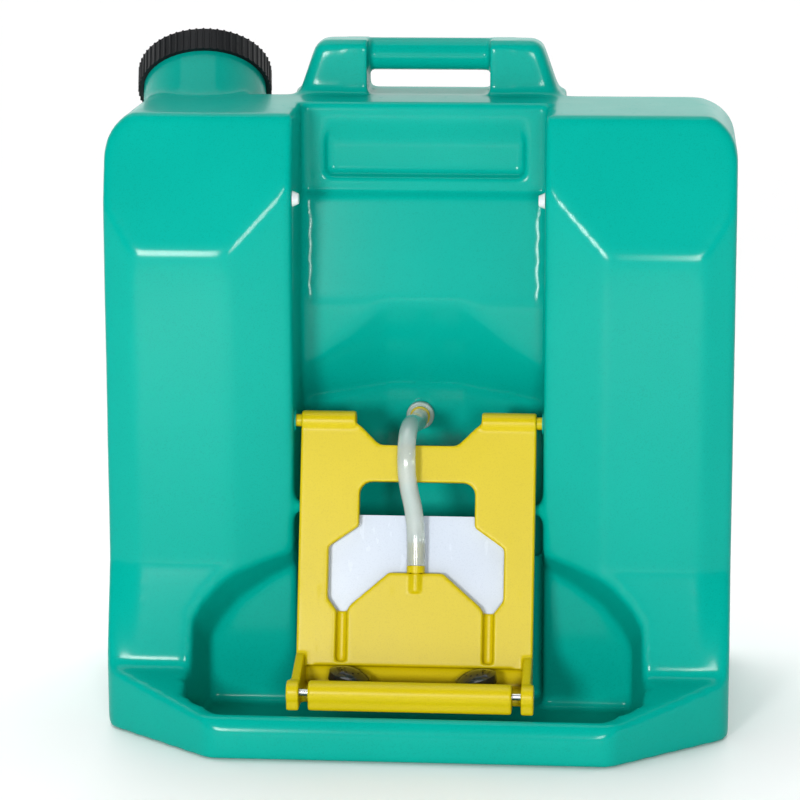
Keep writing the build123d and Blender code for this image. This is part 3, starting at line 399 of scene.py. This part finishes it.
@dataclass
class Moulding:
    """A moulded copy of a CAD node, with its edges rounded the way a mould leaves them.

    Attributes:
        node: CAD node that it stands for.
        body: body that it rides on.
        finish: its finish.
        voxel: size of the mesh it is recast on.
        softness: smoothing passes, more for rounder edges.
        plugs: holes closed before the recast, so that the outside stays one skin.
        bores: holes cut crisply afterwards.
        hollow: True if the space inside is left out.
        crisp: boxes in which edges stay sharper, as lowest and highest corner.
        crispness: share of the rounding that such a box loses.
    """

    node: str
    body: str
    finish: Finish
    voxel: float
    softness: int
    plugs: list[Bore] = field(default_factory=list)
    bores: list[Bore] = field(default_factory=list)
    hollow: bool = False
    crisp: list[tuple[Point, Point]] = field(default_factory=list)
    crispness: float = 0.85

    def build(self) -> bpy.types.Object:
        """Recast, round, bore and dress the piece.

        Returns:
            The finished piece.
        """
        source = frame["nodes"][self.node]
        shape = bmesh.new()
        shape.from_mesh(source.data)
        for plug in self.plugs:
            cutter = plug.cutter(self.voxel)
            shape.from_mesh(cutter.data)
            bpy.data.objects.remove(cutter)
        bmesh.ops.remove_doubles(shape, verts=shape.verts, dist=1e-6)
        mesh = bpy.data.meshes.new(self.node + "_moulded")
        shape.to_mesh(mesh)
        shape.free()
        piece = in_scene(self.node + "_moulded", mesh)
        recast = piece.modifiers.new("recast", "REMESH")
        recast.mode = "VOXEL"
        recast.voxel_size = self.voxel
        settle(piece)
        if self.hollow:
            self._keep_outside(piece)
        smooth = piece.modifiers.new("round", "SMOOTH")
        smooth.factor = 0.5
        smooth.iterations = self.softness
        smooth.vertex_group = self._soft_parts(piece)
        settle(piece)
        for bore in self.bores:
            self._cut(piece, bore)
        for polygon in piece.data.polygons:
            polygon.use_smooth = True
        dress(piece, self.finish)
        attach(piece, self.body)
        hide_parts(self.node)
        log.info("%s: %d faces", piece.name, len(piece.data.polygons))
        return piece

    def _soft_parts(self, piece: bpy.types.Object) -> str:
        """Weigh how much each part of the piece is rounded.

        Args:
            piece: the recast piece.

        Returns:
            The name of the weights.
        """
        group = piece.vertex_groups.new(name="softness")
        soft, held = [], []
        for vert in piece.data.vertices:
            inside = any(all(low[k] <= vert.co[k] <= high[k] for k in range(3)) for low, high in self.crisp)
            chosen = held if inside else soft
            chosen.append(vert.index)
        group.add(soft, 1.0, "REPLACE")
        group.add(held, 1.0 - self.crispness, "REPLACE")
        return group.name

    def _keep_outside(self, piece: bpy.types.Object) -> None:
        """Drop every separate skin but the tallest one.

        Args:
            piece: the recast piece.
        """
        shape = bmesh.new()
        shape.from_mesh(piece.data)
        left = set(shape.verts)
        skins = []
        while left:
            seed = left.pop()
            skin = {seed}
            border = [seed]
            while border:
                around = {vert for link in border.pop().link_edges for vert in link.verts} & left
                left -= around
                skin |= around
                border += around
            skins.append(skin)
        skins.sort(key=lambda skin: max(v.co.z for v in skin) - min(v.co.z for v in skin))
        inner = [vert for skin in skins[:-1] for vert in skin]
        bmesh.ops.delete(shape, geom=inner, context="VERTS")
        shape.to_mesh(piece.data)
        shape.free()

    def _cut(self, piece: bpy.types.Object, bore: Bore) -> None:
        """Cut one crisp hole.

        Args:
            piece: the piece to cut.
            bore: the hole.
        """
        cutter = bore.cutter()
        cut = piece.modifiers.new("cut", "BOOLEAN")
        cut.operation = "DIFFERENCE"
        cut.solver = "EXACT"
        cut.object = cutter
        settle(piece)
        bpy.data.objects.remove(cutter)


def middle(node: str) -> Vector:
    """Return the middle of a node's box."""
    low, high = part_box(node)
    return (Vector(low) + Vector(high)) / 2


def joint(name: str) -> dict:
    """Return the record's entry for a joint."""
    return next(entry for entry in frame["record"]["behaviour"]["joints"] if entry["name"] == name)


@dataclass
class Tank:
    """Rotomoulded tank with its neck, pivots and catch buttons.

    Attributes:
        voxel: mesh size of the recast skin.
        softness: smoothing passes on its edges.
        wall: thickness of the tank's wall.
        lap: how far a plug stands out of the wall that it closes.
        neck_bore: radius of the filling mouth.
        neck_depth: depth of the filling mouth below its seal.
        neck_clear: how far past the seal the mouth is bored.
        spout_bore: radius of the outlet's hole.
        bush_bore: radius of the holes for the pivot bushes.
        bush_clear: how far in front of the wall those holes start.
        stem_bore: radius of the holes for the catch buttons' stems.
        label_depth: front and rear of the space kept crisp around the label recess.
        label_margin: height kept crisp below the catch buttons.
        grip_half: half the width kept crisp around the grip.
        grip_depth: front and rear of that space.
        grip_rise: its foot, above the catch buttons.
    """

    voxel: float = 0.0029
    softness: int = 20
    wall: float = 0.005
    lap: float = 0.0001
    neck_bore: float = 0.050
    neck_depth: float = 0.060
    neck_clear: float = 0.020
    spout_bore: float = 0.008
    bush_bore: float = 0.0078
    bush_clear: float = 0.009
    stem_bore: float = 0.003
    label_depth: tuple[float, float] = (-0.010, 0.040)
    label_margin: float = 0.012
    grip_half: float = 0.075
    grip_depth: tuple[float, float] = (0.030, 0.120)
    grip_rise: float = 0.045

    def build(self) -> bpy.types.Object:
        """Build the tank's skin and dress what is fixed to it.

        Returns:
            The tank's skin.
        """
        plugs, bores = [self._spout()], []
        for plug, bore in (self._neck(), self._bush_hole(-1), self._bush_hole(1)):
            plugs.append(plug)
            bores.append(bore)
        plugs += [self._stem_hole(-1), self._stem_hole(1)]
        skin = Moulding("tank_shell", "tank", TEAL, self.voxel, self.softness, plugs, bores, hollow=True,
                        crisp=self._crisp_parts())
        dress_nodes(BUTTON, "catch_buttons")
        dress_nodes(TEAL, "pivot_bushes")
        dress_nodes(NATURAL, "outlet_flange", "outlet_locknut", "outlet_strainer")
        dress_nodes(RUBBER, "outlet_gasket")
        dress_nodes(YELLOW, "outlet_barb")
        return skin.build()

    def _spout(self) -> Bore:
        """Return what closes the outlet's hole."""
        outlet = middle("outlet_gasket")
        front = outlet + Vector((0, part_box("outlet_gasket")[1].y - outlet.y, 0))
        return Bore(tuple(front), tuple(front + Vector((0, self.spout_bore, 0))), self.spout_bore)

    def _neck(self) -> tuple[Bore, Bore]:
        """Return what closes the filling mouth, and what bores it afterwards."""
        lift = Vector(joint("cap_lift")["axis"])
        mouth = middle("cap_gasket")
        foot = tuple(mouth - lift * self.neck_depth)
        plug = Bore(foot, tuple(mouth - lift * 10 * self.lap), self.neck_bore)
        return plug, Bore(foot, tuple(mouth + lift * self.neck_clear), self.neck_bore)

    def _wall_face(self) -> float:
        """Return how far from the middle a plug in the arm bay's wall starts."""
        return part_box("catch_buttons")[1].x - self.wall - self.lap

    def _bush_hole(self, side: int) -> tuple[Bore, Bore]:
        """Work out the hole for one pivot bush.

        Args:
            side: -1 for the left wall, 1 for the right one.

        Returns:
            What closes it before the recast, and what bores it afterwards.
        """
        _, y, z = joint("arm_swing")["pos_m"]
        face = self._wall_face()
        deep = (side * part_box("pivot_bushes")[1].x, y, z)
        plug = Bore((side * face, y, z), deep, self.bush_bore)
        return plug, Bore((side * (face - self.bush_clear), y, z), deep, self.bush_bore)

    def _stem_hole(self, side: int) -> Bore:
        """Work out what closes the hole for one catch button's stem.

        Args:
            side: -1 for the left wall, 1 for the right one.

        Returns:
            The plug.
        """
        button = middle("catch_buttons")
        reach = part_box("catch_buttons")[1].x
        return Bore((side * self._wall_face(), button.y, button.z), (side * reach, button.y, button.z),
                    self.stem_bore)

    def _crisp_parts(self) -> list[tuple[Point, Point]]:
        """Return the boxes around the label recess and the grip, whose edges stay sharper."""
        low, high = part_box("catch_buttons")
        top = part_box("tank_shell")[1].z
        label_front, label_back = self.label_depth
        grip_front, grip_back = self.grip_depth
        return [
            ((low.x, label_front, low.z - self.label_margin), (high.x, label_back, top)),
            ((-self.grip_half, grip_front, high.z + self.grip_rise), (self.grip_half, grip_back, top)),
        ]


@dataclass
class FillCap:
    """Screw cap of the filling neck."""

    def build(self) -> None:
        """Dress the cap, its plug and its seal."""
        dress_nodes(BLACK, "fill_cap", "vent_plug")
        dress_nodes(RUBBER, "cap_gasket")


@dataclass
class Arm:
    """Swing-down arm with its sign plate, nozzles, pivots and pull bar.

    Attributes:
        voxel: mesh size of the recast arm.
        softness: smoothing passes on the arm's edges.
        bar_softness: smoothing passes on the pull bar.
        axle_bore: radius of the hole through the pull bar.
    """

    voxel: float = 0.00115
    softness: int = 11
    bar_softness: int = 24
    axle_bore: float = 0.0031

    def build(self) -> None:
        """Build the moulded pieces and dress the rest."""
        Moulding("arm_frame", "arm", YELLOW, self.voxel, self.softness).build()
        _, y, z = joint("bar_swivel")["pos_m"]
        low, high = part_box("bar_axle")
        ends = Bore((low.x, y, z), (high.x, y, z), self.axle_bore)
        Moulding("pull_bar", "bar", YELLOW, self.voxel, self.bar_softness, bores=[ends]).build()
        dress_nodes(YELLOW, "inlet_barb", "pivot_pins")
        dress_nodes(WHITE, "sign_plate")
        dress_nodes(STEEL, "sign_screws", "bar_axle")
        dress_nodes(NOZZLE, "nozzle_left", "nozzle_right")
        dress_nodes(RUBBER, "nozzle_seals")
        dress_nodes(BUTTON, "flow_discs")


@dataclass
class SupplyHose:
    """Clear hose from the tank's outlet, over the crossbar, to the arm's inlet.

    Attributes:
        radius: outside radius.
        bend_start: not used.
        bend_end: not used.
        route: points that its smooth line is drawn to, from outlet to inlet.
    """

    radius: float = 0.008
    bend_start: Point = (0.0, -0.020, 0.262)
    bend_end: Point = (0.0, -0.078, 0.232)
    route: list[Point] = field(default_factory=lambda: [
        (-0.005, 0.0247, 0.256),
        (-0.005, 0.0, 0.256),
        (-0.007, -0.026, 0.262),
        (-0.008, -0.050, 0.265),
        (-0.009, -0.069, 0.259),
        (-0.009, -0.079, 0.242),
        (-0.008, -0.080, 0.221),
        (-0.002, -0.080, 0.195),
        (0.0, -0.0812, 0.1718),
        (0.0, -0.0882, 0.1488),
    ])

    def build(self) -> bpy.types.Object:
        """Sweep the hose along its smooth line.

        Returns:
            The hose.
        """
        line = self._line()
        line.bevel_depth = self.radius
        line.bevel_resolution = 8
        line.resolution_u = 16
        line.use_fill_caps = True
        tube = in_scene("hose_line", line)
        bpy.context.view_layer.update()
        mesh = bpy.data.meshes.new_from_object(tube)
        line.bevel_depth = 0
        bpy.context.view_layer.update()
        centre = bpy.data.meshes.new_from_object(tube)
        bpy.data.objects.remove(tube)
        hose = in_scene("supply_hose_tube", mesh)
        for polygon in mesh.polygons:
            polygon.use_smooth = True
        dress(hose, CLEAR)
        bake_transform(hose)
        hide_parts("supply_hose")
        return hose

    def _line(self) -> bpy.types.Curve:
        """Draw the smooth line.

        Returns:
            The curve, with no thickness yet.
        """
        curve = bpy.data.curves.new("hose_line", "CURVE")
        curve.dimensions = "3D"
        spline = curve.splines.new("NURBS")
        spline.points.add(len(self.route) - 1)
        for knot, place in zip(spline.points, self.route):
            knot.co = (*place, 1)
        spline.order_u = 3
        spline.use_endpoint_u = True
        return curve


# ---------------------------------------------------------------- studio
@dataclass(frozen=True)
class Softbox:
    """Square soft light that faces the station.

    Attributes:
        name: name of the light.
        place: where it hangs.
        side: side of its panel.
        power: its power in watts.
    """

    name: str
    place: Point
    side: float
    power: float

    def hang(self, target: Vector) -> None:
        """Put the light in the scene.

        Args:
            target: the point that it faces.
        """
        lamp = bpy.data.lights.new(self.name, "AREA")
        lamp.size = self.side
        lamp.energy = self.power
        holder = in_scene(self.name, lamp)
        holder.location = self.place
        holder.rotation_euler = (target - Vector(self.place)).to_track_quat("-Z", "Y").to_euler()


@dataclass
class Studio:
    """Pale floor, soft lights and the camera.

    Attributes:
        softboxes: the lights in front of the station.
        lit_point: the point that they face.
        wide_light: a point that the wide soft light comes from.
        wide_strength: its strength.
        wide_angle: its spread, degrees.
        fade: depth over which the room turns from dim to bright, as a direction's share.
        brightness: brightness of the room in front of the station and behind it.
        floor_half: half the side of the floor.
        camera_place: where the camera stands.
        camera_target: the point it looks at.
        camera_roll: turn about its own axis, degrees.
        lens: focal length, millimetres.
        sensor: width of the camera's sensor, millimetres.
    """

    softboxes: tuple[Softbox, ...] = (
        Softbox("front_left", (-0.80, -3.0, 0.74), 0.5, 52),
        Softbox("front_right", (0.50, -3.1, 0.80), 0.5, 34),
    )
    lit_point: Point = (0.0, 0.0, 0.28)
    wide_light: Point = (-0.25, 0.1, 1.6)
    wide_strength: float = 1.05
    wide_angle: float = 50
    fade: tuple[float, float] = (-0.05, 0.6)
    brightness: tuple[float, float] = (0.05, 1.8)
    floor_half: float = 24
    camera_place: Point = (0.20797, -2.72404, 0.88276)
    camera_target: Point = (-0.02077, 0.0, 0.27673)
    camera_roll: float = -0.216
    lens: float = 141.7
    sensor: float = 36

    def build(self) -> None:
        """Build floor, lights and camera."""
        self._lay_floor()
        for softbox in self.softboxes:
            softbox.hang(Vector(self.lit_point))
        self._hang_wide_light()
        self._surround()
        bpy.context.scene.view_settings.view_transform = "Standard"
        self._set_camera()

    def _lay_floor(self) -> None:
        """Lay a wide pale floor just under the station."""
        shape = bmesh.new()
        bmesh.ops.create_grid(shape, x_segments=8, y_segments=8, size=self.floor_half)
        mesh = bpy.data.meshes.new("floor")
        shape.to_mesh(mesh)
        shape.free()
        floor = in_scene("floor", mesh)
        dress(floor, FLOOR)

    def _hang_wide_light(self) -> None:
        """Add wide soft light that reaches the whole floor."""
        lamp = bpy.data.lights.new("wide", "SUN")
        lamp.energy = self.wide_strength
        lamp.angle = radians(self.wide_angle)
        holder = in_scene("wide", lamp)
        holder.rotation_euler = (-Vector(self.wide_light)).to_track_quat("-Z", "Y").to_euler()

    def _surround(self) -> None:
        """Light the room: white behind the station, dimmer in front of it."""
        world = bpy.data.worlds.new("studio")
        world.use_nodes = True
        tree = world.node_tree
        where = tree.nodes.new("ShaderNodeTexCoord")
        split = tree.nodes.new("ShaderNodeSeparateXYZ")
        fade = tree.nodes.new("ShaderNodeMapRange")
        fade.inputs["From Min"].default_value, fade.inputs["From Max"].default_value = self.fade
        fade.inputs["To Min"].default_value, fade.inputs["To Max"].default_value = self.brightness
        tree.links.new(where.outputs["Generated"], split.inputs["Vector"])
        tree.links.new(split.outputs["Y"], fade.inputs["Value"])
        tree.links.new(fade.outputs["Result"], tree.nodes["Background"].inputs["Strength"])
        tree.nodes["Background"].inputs["Color"].default_value = (1, 1, 1, 1)
        bpy.context.scene.world = world

    def _set_camera(self) -> None:
        """Set up the camera."""
        camera = bpy.data.cameras.new("camera")
        camera.lens = self.lens
        camera.sensor_width = self.sensor
        holder = in_scene("camera", camera)
        aim = Vector(self.camera_target) - Vector(self.camera_place)
        turn = aim.to_track_quat("-Z", "Y").to_matrix() @ Matrix.Rotation(radians(self.camera_roll), 3, "Z")
        holder.matrix_world = Matrix.Translation(self.camera_place) @ turn.to_4x4()
        bpy.context.scene.camera = holder


def main() -> None:
    """Build every sub-assembly in order."""
    logging.basicConfig(level=logging.INFO, format="%(name)s: %(message)s")
    Studio().build()
    log.info("studio ready")
    SupplyHose().build()
    Tank().build()
    log.info("tank done")
    FillCap().build()
    log.info("cap done")
    Arm().build()
    log.info("arm done")


if __name__ == "__main__":
    main()
